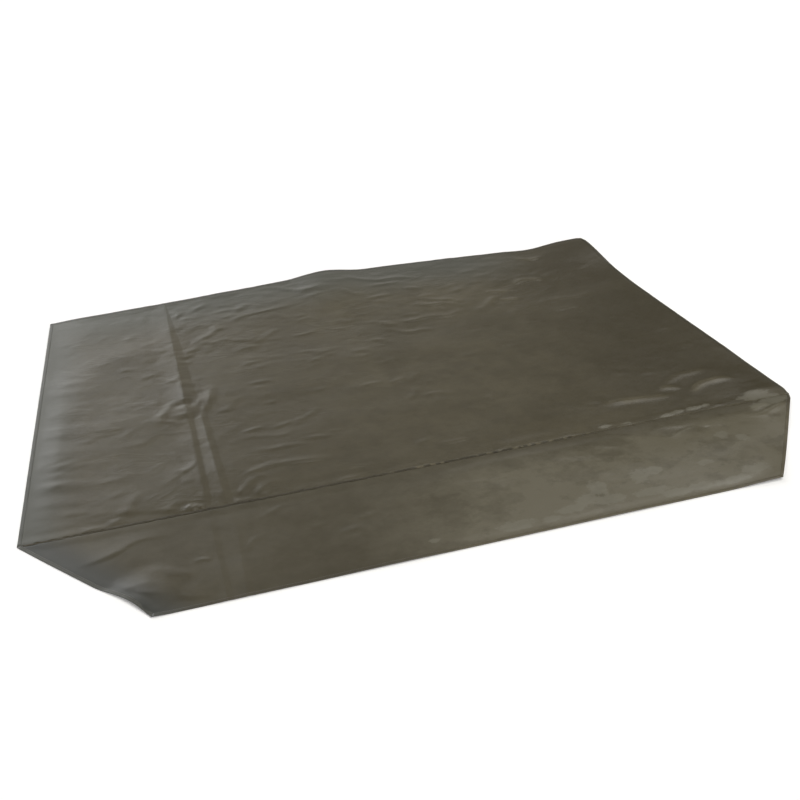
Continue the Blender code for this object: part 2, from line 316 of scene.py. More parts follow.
def course(points):
    """A smooth line, in metres, through points in centimetres."""
    ends = [points[0]] + list(points) + [points[-1]]
    line = []
    for before, start, end, after in zip(ends, ends[1:], ends[2:], ends[3:]):
        a, b, c, d = (np.array(point) / 100 for point in (before, start, end, after))
        for step in range(course_steps):
            t = step / course_steps
            line.append(0.5 * (2 * b + (c - a) * t + (2 * a - 5 * b + 4 * c - d) * t * t
                               + (3 * b - a - 3 * c + d) * t ** 3))
    return np.array(line + [np.array(points[-1]) / 100])


def crease_lean(line):
    """How far a line that crosses the seam at x = line leans over, for each metre rearward."""
    places = (crease_left - crease_fade[0], crease_left, crease_right,
              crease_right + crease_fade[1])
    return np.interp(line, places, (0.0, crease_left_lean, crease_right_lean, 0.0))


def storage_crease(x, y):
    """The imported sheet's crease: one ridge at the rear, two saw teeth nearer the seam."""
    left = crease_left + crease_left_lean * y
    right = np.interp(y, *crease_right_line)
    gap = right - left
    share = np.clip((right - x) / gap, 0, 1)
    ridge = 0.125 * gap * np.where(x < left, fall(left - x, 0.075) ** 1.5, share ** 1.15)
    climb = np.clip((x - left - crease_drop) / (gap - crease_drop), 0, 1) ** 1.3
    tooth = 0.0024 * np.where(x < left, fall(left - x, 0.065) ** 1.5,
                              fall(x - left, crease_drop) + 1.12 * climb)
    tooth = np.where(x > right, 0.0027 * fall(x - right, 0.023), tooth)
    turn = np.clip((y - crease_turn_y - 0.05) / 0.03, 0, 1)
    shape = tooth + (ridge - tooth) * turn
    knot = np.clip(1.6 - np.abs(y - crease_turn_y - 0.005) / 0.030, 0, 1)
    shape = shape + knot * (0.0056 * share * fall(left - x, 0.10) ** 1.3 - shape)
    return np.maximum(shape, 0) * np.where(y < 0, 0.46, 1.0)


# Small puffs beside the seam: middle and half size along and across, in centimetres, then
# their height in millimetres
seam_puffs = (
    (62, 2.6, 4.5, 1.6, 2.6), (71, 1.2, 4.0, 1.2, 1.7), (86, 1.8, 4.0, 1.8, 2.4),
    (91, 2.4, 2.2, 1.7, 1.8), (97, 2.6, 3.6, 1.7, 2.2), (101, 2.9, 3.0, 1.5, 1.7),
    (106, 1.6, 3.0, 1.4, 2.0), (48, 1.4, 5.0, 1.3, 1.6), (-81, 2.0, 5.0, 2.0, 3.2),
    (-88, 3.2, 4.0, 2.0, 2.6), (-58, 3.6, 3.0, 2.6, 2.8), (-30, 1.4, 6.0, 1.3, 1.2),
    (-105, 2.6, 2.6, 3.2, 2.0), (-12, 1.4, 5.0, 1.3, 1.0),
)


def seam_puckers(x, y):
    """Small gathers that the stitching draws up beside the seam, mostly on the main panel."""
    below = np.abs(ripple(x / 0.017, 2.5, 31)) ** 1.4
    below = below * smooth(0.5 + 0.9 * ripple(x / 0.19, 7.5, 32)) * 0.4
    above = np.abs(ripple((x + 0.35 * y) / 0.017, 2.5, 31)) ** 1.4
    gather = np.where(y > 0, above, below)
    length = 0.022 + 0.02 * np.abs(ripple(x / 0.06, 4.5, 33))
    along = np.abs(y) / length
    height = 0.0030 * gather * smooth(along * 4) * smooth(1.25 - along) * smooth((0.5 - x) / 0.2)
    warp = rumple(x / 0.018, y / 0.018, 34), rumple(x / 0.018, y / 0.018, 35)
    for middle_x, middle_y, half_x, half_y, rise in seam_puffs:
        half_y = half_y * np.where(y * 100 > middle_y, 1.25, 0.65)
        away = np.hypot((x * 100 - middle_x) / half_x + 0.5 * warp[0],
                        (y * 100 - middle_y) / half_y + 0.4 * warp[1])
        height = height + rise / 1000 * bump(away) * smooth(y / 0.006)
    return height


def apron(x):
    """How far the flat strip below the seam, dark with painted shade, reaches down the front panel
    at x.
    """
    return np.interp(x, (0.50, 0.60, 0.715, 0.797, 0.852, 0.898, 0.941, 1.00, 1.15, 1.30),
                     (0.0, 0.02, 0.074, 0.112, 0.087, 0.074, 0.104, 0.078, 0.080, 0.045))


# Where the cloth is lifted off the floor: the rear right corner, beside the right-hand
# end of the seam and the front right corner. Middle, reach and height of each
lifted_places = (
    (rear_half, rear_depth, 0.29, 0.022), (seam_half - 0.16, 0.17, 0.17, 0.003),
    (front_half, -front_depth, 0.20, 0.008))

# The middle of the lift at the front left edge
left_edge_lift_x = -1.07
left_edge_lift_y = -0.36


def main_folds(x, y):
    """The large forms: lifted edges and corners, and the front panel's low crown."""
    fade = smooth(1 - (rear_depth + rear_peak - y) / 0.50)
    height = 0.014 * bump(np.clip(np.abs(x) / 0.17, 0, 1)) * fade
    for middle_x, middle_y, reach, rise in lifted_places:
        height = height + rise * bump(np.hypot(middle_x - x, middle_y - y) / reach)
    out_x, out_y = x - left_edge_lift_x, y - left_edge_lift_y
    along, inward = 0.61 * out_x - 0.79 * out_y, 0.79 * out_x + 0.61 * out_y
    height = height + 0.0065 * bump(np.hypot(along / 0.12, inward / 0.24))
    down = np.clip((-y - apron(x)) / (front_depth - apron(x)), 0, 1) ** 0.66
    from_side = seam_half - (seam_half - front_half) * np.clip(-y / front_depth, 0, 1) - np.abs(x)
    height = height + 0.0032 * spot(x, y, 1.26, 0.045, 0.11, 0.055)
    crown = 4 * down * (1 - down) * smooth(from_side / 0.16) * smooth((x + 0.45) / 0.9)
    return height + 0.0088 * crown


# Where the main panel lies calm: middle, half size each way and how calm
calm_places = (
    (0.42, 0.20, 0.36, 0.30, 1.0), (-0.14, 0.27, 0.16, 0.20, 0.8),
    (-0.42, 0.66, 0.26, 0.14, 0.7))


def crinkled(x, y):
    """How crinkled the cloth is: little by the smooth middle and on the front panel."""
    left = smooth((0.45 - x) / 1.4)
    rear = smooth((y - 0.55) / 0.5) * smooth((1.15 - x) / 0.35)
    calm = 0 * x
    for *place, share in calm_places:
        calm = np.maximum(calm, share * spot(x, y, *place))
    amount = 0.14 + 0.26 * left + (0.26 + 0.24 * smooth((x + 0.1) / 0.4)) * rear
    amount = amount * (1 - 0.85 * calm)
    amount = amount * (1 - 0.5 * smooth((-0.45 - x) / 0.4) * smooth((y - 0.6) / 0.3))
    amount = amount * (1 - 0.55 * smooth((-1.06 - x) / 0.12))
    amount = amount + 0.10 * smooth((x - 0.45) / 0.3) * smooth((0.9 - y) / 0.2)
    return np.where(y < 0, 0.08, amount) + 0 * x


def front_light_and_shade(x, y):
    """Painted light on the front panel: paler most on the right, where the light falls, and
    painted shade on the apron.
    """
    amount = 0.05 + 0.66 * smooth((x + 0.45) / 0.65) * smooth(0.15 - y / 0.20)
    amount = amount + 0.44 * smooth((x - 0.4) / 0.4) * bump((y + 0.14) / 0.16)
    amount = amount + 0.42 * smooth((x + 0.15) / 0.3) * smooth((-y - 0.22) / 0.14)
    amount = amount * (1 - 0.14 * smooth((x - 0.2) / 0.3) * smooth((-y - 0.16) / 0.12))
    return amount * (0.74 + 0.26 * smooth(0.5 + (-y - apron(x)) / 0.03))


def main_light_and_shade(x, y):
    """Painted light and shade on the main panel: paler at the rear, in the middle and by the right
    end of the seam, darker to the right and in two spots to the left.
    """
    rear = smooth((y - 0.75) / 0.4) * smooth((0.85 - x) / 0.4) * smooth((x + 0.35) / 0.4)
    right = smooth((x - 0.55) / 0.5)
    corner = smooth((1.1 - np.hypot((x - 1.27) / 0.10, y / 0.058)) / 0.25)
    middle = spot(x, y, 0.20, 0.30, 0.75, 0.85)
    near = spot(x, y, 0.55, 0.0, 0.65, 0.22)
    shaded_spot = spot(x, y, -0.46, 0.36, 0.34, 0.26)
    shaded_left_spot = spot(x, y, -0.82, 0.22, 0.24, 0.24)
    amount = 0.13 + 0.24 * rear + 0.16 * middle - 0.21 * right + 0.34 * corner
    return amount + 0.20 * near - 0.12 * shaded_spot - 0.11 * shaded_left_spot


def worn(x, y):
    """Painted light and shade in the cloth's colour, with painted highlights on high wrinkle tops;
    on the hem at the seam, how far its painted shade is lightened, in short dashes.
    """
    panel = np.where(y < 0, front_light_and_shade(x, y), main_light_and_shade(x, y))
    # Painted highlights on the tops of high wrinkles, towards the right
    panel = panel + 0.52 * smooth((x - 0.5) / 0.3) * relief.at(x, y, relief.crest)
    # On the hem, its painted shade is lightened towards the right and in short dashes
    dashes = smooth((ripple(x / 0.016, 0.5, 81) - 0.05) / 0.25)
    dashes = dashes * smooth((x + 0.3) / 0.3) * smooth((0.65 - x) / 0.2)
    hem = 0.40 * smooth((x - 0.15) / 0.65) + 0.75 * dashes
    return np.where(np.abs(y) < hem_half, hem, panel)


# Pale scuffs on the front panel, and painted highlights on the puffs along the seam and
# by its right-hand end: middle across and rearward, then half size each way, in centimetres
pale_scuffs_and_highlights = (
    (12.8, -38.0, 6.0, 2.4), (24, -38.6, 3.5, 1.4), (32, -36.2, 5.0, 1.8),
    (38.5, -33.8, 4.0, 2.6), (44.5, -29.0, 3.0, 4.0), (46.0, -35.6, 5.5, 2.4),
    (59.5, -28.0, 2.8, 3.6), (65.5, -26.6, 3.2, 2.0), (60.0, -36.0, 6.0, 2.0),
    (68.0, -38.8, 6.0, 1.8), (77.0, -38.4, 5.0, 1.8), (88.0, -38.8, 8.0, 1.5),
    (-14.0, -36.8, 2.0, 0.9), (97.0, -16.0, 2.4, 2.2), (103.0, -20.0, 2.2, 2.2),
    (98.0, -36.0, 6.0, 2.0), (84.0, -28.0, 3.0, 1.5),
    # Painted highlights on the puffs beside the seam, then by its right-hand end
    (62.5, 1.9, 3.2, 0.8), (70.0, 1.5, 2.0, 0.5), (86.0, 1.4, 3.0, 0.9),
    (90.5, 2.0, 2.6, 1.1), (97.0, 2.3, 3.0, 1.1), (102.5, 2.8, 1.4, 0.9),
    (122.0, 2.6, 6.0, 3.0), (127.0, -1.0, 6.0, 3.2), (120.0, -3.4, 4.0, 1.6),
)


def scuffed(x, y):
    """Where the pale scuffs and painted highlights lie: 1 in the middle of each and a half at its
    outline.
    """
    amount = 0 * x
    for middle_x, middle_y, half_x, half_y in pale_scuffs_and_highlights:
        away = np.hypot((x * 100 - middle_x) / half_x, (y * 100 - middle_y) / half_y)
        amount = np.maximum(amount, 1 - 0.5 * away)
    return amount


def faded(x, y):
    """How much painted grey sheen lies on the cloth: along its rear, left and front left edges."""
    side = (half_width(y) - np.abs(x)) + 0.30 * smooth((x + 0.2) / 0.5)
    edge = np.where(y > 0, far_edge(x, 1) - y, 1.0 + 0 * y)
    away = np.minimum(side / 0.17, edge / 0.27)
    return 0.9 * (smooth(1.15 - away) * smooth((0.95 - x) / 0.4))


# How many places are tried for a small wrinkle
small_wrinkle_tries = 700

# Layers of waves and of crumples in the loose cloth: length across, length rearward,
# height and the number that scatters them
wave_layers = ((0.170, 0.075, 0.0010, 14), (0.085, 0.040, 0.0004, 15))
crumple_layers = ((0.095, 0.062, 0.0009, 22), (0.046, 0.032, 0.0004, 23))


def small_wrinkles():
    """Short wrinkles scattered over the cloth, mostly lying along the seam's direction.

    Each is a row as in long_wrinkles. The less crinkled the cloth, the fewer it keeps.
    """
    random = np.random.default_rng(7)
    wrinkles = []
    for _ in range(small_wrinkle_tries):
        x = random.uniform(-seam_half, seam_half)
        y = random.uniform(-front_depth, rear_depth + rear_peak)
        lean = random.normal(0.12, 0.40) + (random.random() < 0.22) * random.choice((-0.9, 0.9))
        length = random.uniform(0.035, 0.11)
        rise = (0.35 + 1.25 * random.random() ** 2) * (1 - 0.45 * smooth((-0.7 - x) / 0.25))
        rise = rise * (1 - 0.5 * smooth((-1.02 - x) / 0.12))
        bow = random.normal(0.0, 0.20)
        rear_reach = random.uniform(13, 28)
        if random.random() > 1.4 * crinkled(np.array(x), np.array(y)):
            continue
        front_reach = random.uniform(8, 13)
        middle = np.array((x, y))
        half = np.array((math.cos(lean), math.sin(lean))) * length / 2
        bowed = middle + np.array((-half[1], half[0])) * bow * 2
        points = [(middle - half) * 100, bowed * 100, (middle + half) * 100]
        wrinkles.append((rise, rear_reach, front_reach, points))
    return wrinkles


class Relief:
    """The heights of the loose cloth over the whole sheet, kept on an even grid."""

    def __init__(self):
        self.x = np.arange(-seam_half - 0.02, seam_half + 0.02, relief_step)
        self.y = np.arange(-front_depth - 0.02, rear_depth + rear_peak + 0.02, relief_step)
        x, y = np.meshgrid(self.x, self.y)
        self.height = main_folds(x, y)
        # Where painted highlights lie along the tops of high wrinkles
        self.crest = np.zeros(x.shape)
        sway = rumple(x / 0.42, y / 0.30, 11) + 0.5 * rumple(x / 0.19, y / 0.13, 12)
        left_calm = 1 - 0.6 * smooth((-1.0 - x) / 0.15)
        self.height += 0.0025 * np.clip(sway + 0.5, 0, None) * left_calm
        amount = crinkled(x, y)
        warp = 0.25 * rumple(x / 0.13, y / 0.10, 13)
        for across, along, rise, seed in wave_layers:
            patch = smooth(0.5 + rumple(x / 0.21, y / 0.12, seed + 6))
            wave = 1 - np.abs(rumple(x / across + warp, y / along + 2.2 * warp, seed))
            self.height += rise * amount * patch * np.clip(wave, 0, None) ** 2.2
        crumpled = (0.25 + 2.0 * amount) * (1 - 0.60 * smooth((-0.7 - x) / 0.25))
        crumpled = crumpled * smooth(0.75 + rumple(x / 0.26, y / 0.18, 24))
        for across, along, rise, seed in crumple_layers:
            peak = facets(x / across + 1.2 * warp, y / along + 1.5 * warp, seed)
            self.height += rise * crumpled * peak
        for rise, rear_reach, front_reach, points in long_wrinkles + tuple(small_wrinkles()):
            self.raise_along(course(points), rise / 1000, rear_reach / 1000, front_reach / 1000)

    def raise_along(self, line, rise, rear_reach, front_reach):
        """Raise the cloth along a line, steeper on the side that reaches less far.

        A rise whose top is high enough gets a painted highlight along it, kept in crest too.
        """
        reach = max(rear_reach, front_reach)
        columns = slice(*np.searchsorted(self.x, (line[:, 0].min() - reach,
                                                  line[:, 0].max() + reach)))
        rows = slice(*np.searchsorted(self.y, (line[:, 1].min() - reach,
                                               line[:, 1].max() + reach)))
        x, y = np.meshgrid(self.x[columns], self.y[rows])
        nearest = np.full(x.shape, 1e9)
        side = np.zeros(x.shape)
        done = np.zeros(x.shape)
        lengths = np.hypot(*(line[1:] - line[:-1]).T)
        before = 0.0
        for start, end, length in zip(line, line[1:], lengths):
            ahead = (end - start) / length
            out_x, out_y = x - start[0], y - start[1]
            share = np.clip(out_x * ahead[0] + out_y * ahead[1], 0, length)
            away = np.hypot(out_x - ahead[0] * share, out_y - ahead[1] * share)
            closer = away < nearest
            nearest = np.where(closer, away, nearest)
            side = np.where(closer, ahead[0] * out_y - ahead[1] * out_x, side)
            done = np.where(closer, before + share, done)
            before += length
        nearest = np.hypot(nearest, 0.004) - 0.004
        slope = np.clip(1 - nearest / np.where(side > 0, rear_reach, front_reach), 0, 1)
        ends = smooth(np.minimum(done, before - done) / (0.32 * before))
        uneven = 1 + 0.35 * ripple(done / 0.045, 40 * line[0, 0], 41)
        self.height[rows, columns] += rise * slope ** 1.5 * ends * uneven
        # A rise high enough gets a painted highlight along its top
        painted_highlight = smooth(rise / 0.0015 - 1) * smooth((slope * ends - 0.22) / 0.4)
        self.crest[rows, columns] = np.maximum(self.crest[rows, columns], painted_highlight)

    def at(self, x, y, kept):
        """The kept grid's value at x, y, between the grid's own points."""
        column = np.clip((x - self.x[0]) / relief_step, 0, len(self.x) - 1.001)
        row = np.clip((y - self.y[0]) / relief_step, 0, len(self.y) - 1.001)
        left, low = column.astype(int), row.astype(int)
        across, along = column - left, row - low
        near = kept[low, left] * (1 - across) + kept[low, left + 1] * across
        far = kept[low + 1, left] * (1 - across) + kept[low + 1, left + 1] * across
        return near * (1 - along) + far * along


relief = Relief()


def cloth_height(x, y):
    """Height of the cloth's underside above the floor, before its bound edges are allowed for."""
    calm = smooth((np.abs(y) - 0.004) / (0.06 + 0.09 * smooth((0.2 - x) / 0.5) * (y < 0)))
    return (relief.at(x, y, relief.height) + storage_crease(x, y)) * calm + seam_puckers(x, y)


def settled(x, y, z):
    """Points of the sheet in the scene, moved by the pulls."""
    moved_x, moved_y = x + 0.0, y + seam_y
    for (from_x, from_y), (by_x, by_y), reach in pulls:
        share = bump(np.clip(np.hypot(x - from_x, y - from_y) / reach, 0, 1))
        moved_x = moved_x + by_x * share
        moved_y = moved_y + by_y * share
    return np.stack([moved_x, moved_y, z + 0.0 * x], -1)


def half_width(y):
    """Half the sheet's width at y from the seam."""
    rear = seam_half + (rear_half - seam_half) * y / rear_depth
    front = seam_half + (front_half - seam_half) * -y / front_depth
    return np.where(y > 0, rear, front)


def far_edge(x, towards):
    """Distance of the rear or front edge from the seam at x."""
    if towards < 0:
        return np.full(np.shape(x), front_depth)
    return rear_depth + rear_peak * (1 - np.abs(x) / rear_half)


def laid(x, y, towards):
    """Underside height with the edges taken into account: a bound edge is level across.

    towards is 1 on the main panel and -1 on the front panel, here and below.
    """
    corner_half, depth = (rear_half, rear_depth) if towards > 0 else (front_half, front_depth)
    side_slope = (seam_half - corner_half) / depth
    edge_slope = rear_peak / rear_half if towards > 0 else 0.0
    half = half_width(y)
    edge = far_edge(x, towards)
    from_side = (half - np.abs(x)) / math.hypot(1, side_slope)
    from_edge = (edge - np.abs(y)) / math.hypot(1, edge_slope)
    keep_side = smooth((from_side - seat) / seat_run_out)
    keep_edge = smooth((from_edge - seat) / seat_run_out)
    foot_x = x * keep_side + np.copysign(half, x) * (1 - keep_side)
    foot_y = y * keep_edge + towards * edge * (1 - keep_edge)
    at_edge = edge_rest * (1 - np.minimum(keep_side, keep_edge))
    at_seam = seam_rest * smooth(1 - (np.abs(y) - seat) / seat_run_out)
    return np.maximum(at_edge, at_seam) + cloth_height(foot_x, foot_y)


def steps_between(marks, steps):
    """Even steps between each pair of marks, each pair with its own step."""
    lines = [marks[0]]
    for low, high, step in zip(marks, marks[1:], steps):
        count = max(1, round((high - low) / step))
        lines += list(low + (high - low) * np.arange(1, count + 1) / count)
    return np.array(lines)


def panel_places(towards):
    """X and Y of one panel's crossings, with columns close together on the crease.

    X depends on y and y on x, so they are worked out in turn until they agree.
    """
    straight = crease_margin - crease_left
    marks = (-seam_half, -straight, crease_right + crease_margin, straight, seam_half)
    columns = steps_between(marks, (column_step, crease_step, column_step, column_step))
    depth = rear_depth if towards > 0 else front_depth
    shares = steps_between((0.0, 1.0), (row_step / depth,))
    line, share = np.meshgrid(columns, shares)
    x = line.copy()
    y = share * depth * towards
    for _ in range(agreeing_rounds):
        half = half_width(y)
        beyond = np.clip((np.abs(line) - straight) / (seam_half - straight), 0, None)
        x = np.where(np.abs(line) <= straight, line + crease_lean(line) * y,
                     np.copysign(straight + beyond * (half - straight), line))
        y = share * far_edge(x, towards) * towards
    return x, y


def mesh_from(name, points, faces, place=None):
    """A mesh with smooth faces, a UV map of its places laid flat, and at each point how crinkled
    it is, its painted light and shade, painted grey sheen, and pale scuffs and painted highlights.

    place gives those flat places where they aren't simply the points seen from above.
    """
    mesh = bpy.data.meshes.new(name)
    mesh.from_pydata(points.tolist(), [], faces)
    corners = np.empty(len(mesh.loops), int)
    mesh.loops.foreach_get("vertex_index", corners)
    mesh.uv_layers.new(name="laid_flat")
    place = points[:, :2] if place is None else place
    mesh.uv_layers["laid_flat"].data.foreach_set("uv", place[corners].ravel())
    for key, amount in (("crinkled", crinkled), ("worn", worn), ("faded", faded),
                        ("scuffed", scuffed)):
        value = amount(points[:, 0], points[:, 1] - seam_y)
        mesh.attributes.new(key, 'FLOAT', 'POINT').data.foreach_set("value", value)
    mesh.shade_smooth()
    return mesh


def grid_faces(rows, columns):
    """The quads of a grid whose crossings are numbered row by row."""
    first = (np.arange(rows - 1)[:, None] * columns + np.arange(columns - 1)).ravel()
    return np.stack([first, first + 1, first + columns + 1, first + columns], 1)


def sheet_solid(name, x, y, low, thickness):
    """A closed sheet: a top, an underside and the cut edge between them."""
    rows, columns = x.shape
    count = rows * columns
    top = settled(x, y, low + thickness).reshape(-1, 3)
    under = settled(x, y, low).reshape(-1, 3)
    upper = grid_faces(rows, columns)
    number = np.arange(count).reshape(rows, columns)
    rim = np.concatenate([number[0], number[1:, -1], number[-1, -2::-1], number[-2:0:-1, 0]])
    following = np.roll(rim, -1)
    edge = np.stack([rim, rim + count, following + count, following], 1)
    faces = np.concatenate([upper, upper[:, ::-1] + count, edge])
    if y[-1, 0] < y[0, 0]:
        faces = faces[:, ::-1]
    return mesh_from(name, np.concatenate([top, under]), faces.tolist())


def add_object(name, mesh, material):
    """Put a finished mesh in the scene."""
    piece = bpy.data.objects.new(name, mesh)
    bpy.context.scene.collection.objects.link(piece)
    mesh.materials.append(material)
    return piece


# The cloth's finish: threads to the metre, the wave texture's scale that gives one wave to
# each unit, the colours of a pale scuff or painted highlight and of the cloth where painted
# light falls, and the crinkles too fine for the mesh, each by its count to the metre across
# and rearward, its height and its turn
cloth_threads = 1100.0
one_wave_a_unit = 0.3142
pale_scuff_and_highlight = (0.148, 0.140, 0.104)
pale_lit_olive = (0.082, 0.069, 0.036)
fine_crinkles = ((9.0, 21.0, 0.9, 0.12), (18.0, 36.0, 0.42, -0.25), (25.0, 30.0, 0.16, 0.6))


class Value:
    """A socket whose number or colour varies. Arithmetic on it adds Math nodes."""

    def __init__(self, shading, socket):
        self.shading = shading
        self.socket = socket

    def math(self, operation, first, second=0.0):
        """One Math node on two values or plain numbers."""
        return self.shading.node("ShaderNodeMath", {"operation": operation}, {0: first, 1: second})

    def __add__(self, other):
        return self.math('ADD', self, other)

    def __sub__(self, other):
        return self.math('SUBTRACT', self, other)

    def __rsub__(self, other):
        return self.math('SUBTRACT', other, self)

    def __mul__(self, other):
        return self.math('MULTIPLY', self, other)

    def __pow__(self, other):
        return self.math('POWER', self, other)

    def __abs__(self):
        return self.math('ABSOLUTE', self)

    __radd__ = __add__
    __rmul__ = __mul__


class Shading:
    """The nodes that shade one material or the world."""

    def __init__(self, owner):
        owner.use_nodes = True
        self.nodes = owner.node_tree.nodes
        self.links = owner.node_tree.links

    def node(self, kind, settings=None, sockets=None, output=0):
        """Add a node: settings first, then its sockets' values or links."""
        made = self.nodes.new(kind)
        for key, value in (settings or {}).items():
            setattr(made, key, value)
        for key, value in (sockets or {}).items():
            self.set(made.inputs[key], value)
        return Value(self, made.outputs[output])

    def set(self, socket, value):
        """Link a varying value to a socket, or write a plain one."""
        if isinstance(value, Value):
            self.links.new(value.socket, socket)
        else:
            socket.default_value = value


def solid(colour):
    """A plain colour with the opacity that its socket wants, or a varying one as it is."""
    return colour if isinstance(colour, Value) else (*colour, 1.0)


class Finish(Shading):
    """One material and the nodes that make it."""

    def __init__(self, name):
        self.material = bpy.data.materials.new(name)
        super().__init__(self.material)
        self.surface = self.nodes["Principled BSDF"]

    def give(self, **looks):
        """Set the surface's own sockets, named with underscores for spaces."""
        for key, value in looks.items():
            self.set(self.surface.inputs[key.replace("_", " ")], value)

    def place(self, across=1.0, along=1.0, turn=0.0):
        """The cloth's own flat coordinates, stretched by a scale each way."""
        flat = self.node("ShaderNodeUVMap", {"uv_map": "laid_flat"})
        return self.node("ShaderNodeMapping", {}, {
            "Vector": flat, "Scale": (across, along, 1.0), "Rotation": (0.0, 0.0, turn)})

    def noise(self, place, detail=3.0, roughness=0.5, distortion=0.0):
        """Scattered blotches between 0 and 1, one to each unit of place."""
        return self.node("ShaderNodeTexNoise", {"noise_dimensions": '2D'}, {
            "Vector": place, "Scale": 1.0, "Detail": detail, "Roughness": roughness,
            "Distortion": distortion})

    def weave(self, threads_per_metre):
        """Height of a plain weave: warp and weft taking turns on top."""
        flat = self.place(threads_per_metre, threads_per_metre)
        warp, weft = (self.node("ShaderNodeTexWave", {"bands_direction": way},
                                {"Vector": flat, "Scale": one_wave_a_unit}) for way in 'XY')
        return warp.math('MAXIMUM', warp, weft)

    def carried(self, name):
        """An amount that the mesh carries at each of its points."""
        return self.node("ShaderNodeAttribute", {"attribute_name": name}, output=2)

    def between(self, value, low, high, ease='SMOOTHSTEP'):
        """0 where a value is low, 1 where it is high, and the steps between."""
        return self.node("ShaderNodeMapRange", {"interpolation_type": ease}, {
            "Value": value, "From Min": low, "From Max": high})

    def mix(self, amount, first, second):
        """A colour between two colours."""
        return self.node("ShaderNodeMix", {"data_type": 'RGBA'},
                         {0: amount, 6: solid(first), 7: solid(second)}, output=2)

    def bump(self, height, distance, strength=1.0):
        """A surface normal from a height of which 1 stands for distance."""
        return self.node("ShaderNodeBump", {}, {
            "Height": height, "Distance": distance, "Strength": strength})


def coated_cloth(name, dark, light, painted_sheen=None, shine=0.5):
    """Coated cloth, mottled, paler where painted light falls and darker where painted shade falls,
    with a painted grey sheen by its edges.
    """
    finish = Finish(name)
    blotches = finish.noise(finish.place(3.0, 3.6), detail=4.0, roughness=0.6)
    grime = finish.noise(finish.place(17.0, 23.0), detail=5.0, roughness=0.65)
    tone = finish.between(blotches * 0.5 + grime * 0.5, 0.35, 0.65, ease='LINEAR')
    dust = finish.noise(finish.place(6.0, 8.5), detail=7.0, roughness=0.66)
    dust = finish.between(dust, 0.44, 0.57)
    # The carried amount is painted light and shade, broken up by the cloth's own mottling and dust
    tone = (tone * 0.45 + dust * 0.42 + 0.54) * finish.carried("worn") + tone * 0.22
    cloth = finish.mix(tone, dark, light)
    # Pale scuffs, and painted highlights on the seam's puffs and by its right-hand end
    torn = finish.noise(finish.place(30.0, 42.0), detail=6.0, roughness=0.68)
    scuff_and_highlight_share = finish.between(finish.carried("scuffed") + torn * 0.9 - 0.45, 0.42, 0.62)
    cloth = finish.mix(scuff_and_highlight_share * 0.5, cloth, pale_scuff_and_highlight)
    # A painted grey sheen along the rear, left and front left edges
    if painted_sheen:
        cloth = finish.mix(finish.carried("faded"), cloth, painted_sheen)
    finish.give(Base_Color=cloth)
    rub = finish.noise(finish.place(46.0, 60.0), detail=4.0, roughness=0.6)
    finish.give(Roughness=0.28 + 0.10 * rub + 0.08 * blotches, Specular_IOR_Level=shine)
    height = finish.weave(cloth_threads) * 0.03
    amount = finish.carried("crinkled")
    for across, along, rise, turn in fine_crinkles:
        wave = finish.noise(finish.place(across, along, turn), detail=1.5, distortion=0.7)
        patch = finish.noise(finish.place(across * 0.45, along * 0.35, turn), detail=1.0)
        crest = (1 - abs(wave * 2 - 1)) ** 3.5
        height = height + crest * finish.between(patch, 0.50, 0.60) * rise * amount
    finish.give(Normal=finish.bump(height, 0.0008))
    return finish.material


def sewing_thread(name, colour):
    """Twisted polyester thread, paler where its fibres stand up."""
    finish = Finish(name)
    fuzz = finish.noise(finish.place(900.0, 900.0), detail=2.0)
    pale = tuple(part * 1.5 for part in colour)
    finish.give(Base_Color=finish.mix(fuzz, colour, pale), Roughness=0.6)
    return finish.material


def sealing_film(name, colour):
    """Thin tape pressed on with heat, smoother than the cloth round it."""
    finish = Finish(name)
    haze = finish.noise(finish.place(30.0, 90.0), detail=3.0)
    pale = tuple(part * 1.25 for part in colour)
    finish.give(Base_Color=finish.mix(haze, colour, pale), Roughness=0.28 + 0.14 * haze)
    finish.give(Normal=finish.bump(haze, 0.0004, 0.5))
    return finish.material


def make_cloth(name, towards, material, node):
    """One panel of the sheet: the main one where towards is 1, the front one where it is -1."""
    x, y = panel_places(towards)
    low = laid(x, y, towards)
    piece = add_object(name, sheet_solid(name, x, y, low, cloth_thickness), material)
    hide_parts(node)
    return piece


# The sheet's corners, clockwise from the left-hand end of the seam
outline = [np.array(corner) for corner in (
    (-seam_half, 0.0), (-rear_half, rear_depth), (0.0, rear_depth + rear_peak),
    (rear_half, rear_depth), (seam_half, 0.0), (front_half, -front_depth),
    (-front_half, -front_depth))]


def edge_line(first, last):
    """Points along the outline from one corner to another, and what lies round them.

    Gives the points, the way out and the way on at each, and how far each end is cut
    back for every metre inward to meet its neighbour.
    """
    points = []
    for number in range(first, last):
        start, end = outline[number], outline[(number + 1) % len(outline)]
        count = round(float(np.hypot(*(end - start))) / tape_step)
        points += [start + (end - start) * step / count for step in range(count)]
    points = np.array(points + [outline[last % len(outline)]])
    ahead = np.gradient(points, axis=0)
    ahead /= np.hypot(*ahead.T)[:, None]
    out = np.stack([-ahead[:, 1], ahead[:, 0]], 1)
    cuts = []
    for corner in (first, last % len(outline)):
        before = outline[corner] - outline[corner - 1]
        after = outline[(corner + 1) % len(outline)] - outline[corner]
        turn = math.atan2(before[1], before[0]) - math.atan2(after[1], after[0])
        cuts.append(math.tan((turn % (2 * math.pi)) / 2))
    return points, out, ahead, cuts


def edge_height(points, out):
    """Height of the middle of the cloth's thickness along an edge."""
    inside = points - out * just_inside
    towards = 1 if points[:, 1].mean() > 0 else -1
    return laid(inside[:, 0], inside[:, 1], towards) + cloth_thickness / 2


def half_turn(radius):
    """Points half way round the cloth's edge, from the top to the underside."""
    angles = [math.pi * (0.5 - step / tape_bend_steps) for step in range(tape_bend_steps + 1)]
    return [(radius * math.cos(angle), radius * math.sin(angle)) for angle in angles]


